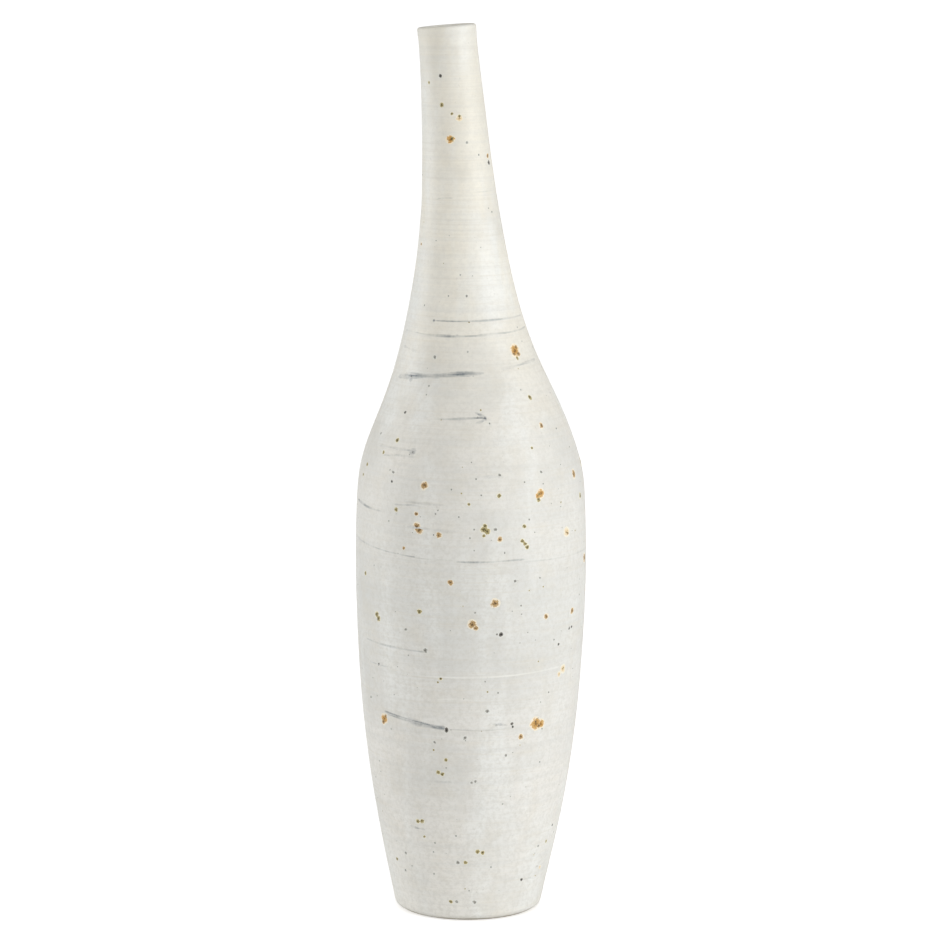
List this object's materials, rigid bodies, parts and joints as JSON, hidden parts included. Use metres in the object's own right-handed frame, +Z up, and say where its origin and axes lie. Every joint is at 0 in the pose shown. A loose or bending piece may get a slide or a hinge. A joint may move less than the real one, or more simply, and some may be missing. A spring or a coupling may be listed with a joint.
{
  "type": "bottle vase",
  "caption": "Tall slim stoneware bottle vase with a leaning neck, rounded shoulder, tapering body and trimmed foot ring, thrown in sections and glazed cream.",
  "frame": {"origin": "on the ground under the belly's axis, at the centre of the bounding box's bottom", "axes": "+Z up through the neck; the neck leans towards -X; -Y is the front that carries the brush marks"},
  "size_m": [0.12, 0.12, 0.4611],
  "materials": {
    "bare_clay": "bare fired stoneware, matt and slightly gritty",
    "slip": "fired joining slip, matt",
    "outer_glaze": "satin off-white glaze with iron spots",
    "liner_glaze": "satin cream liner glaze"
  },
  "bodies": {
    "root": {"foot_ring": "bare_clay", "foot_slip_seam": "slip", "lower_section": "bare_clay", "shoulder_slip_seam": "slip", "shoulder_section": "bare_clay", "neck_slip_seam": "slip", "neck_section": "bare_clay", "liner_glaze": "liner_glaze", "outer_glaze": "outer_glaze"}
  },
  "joints": []
}
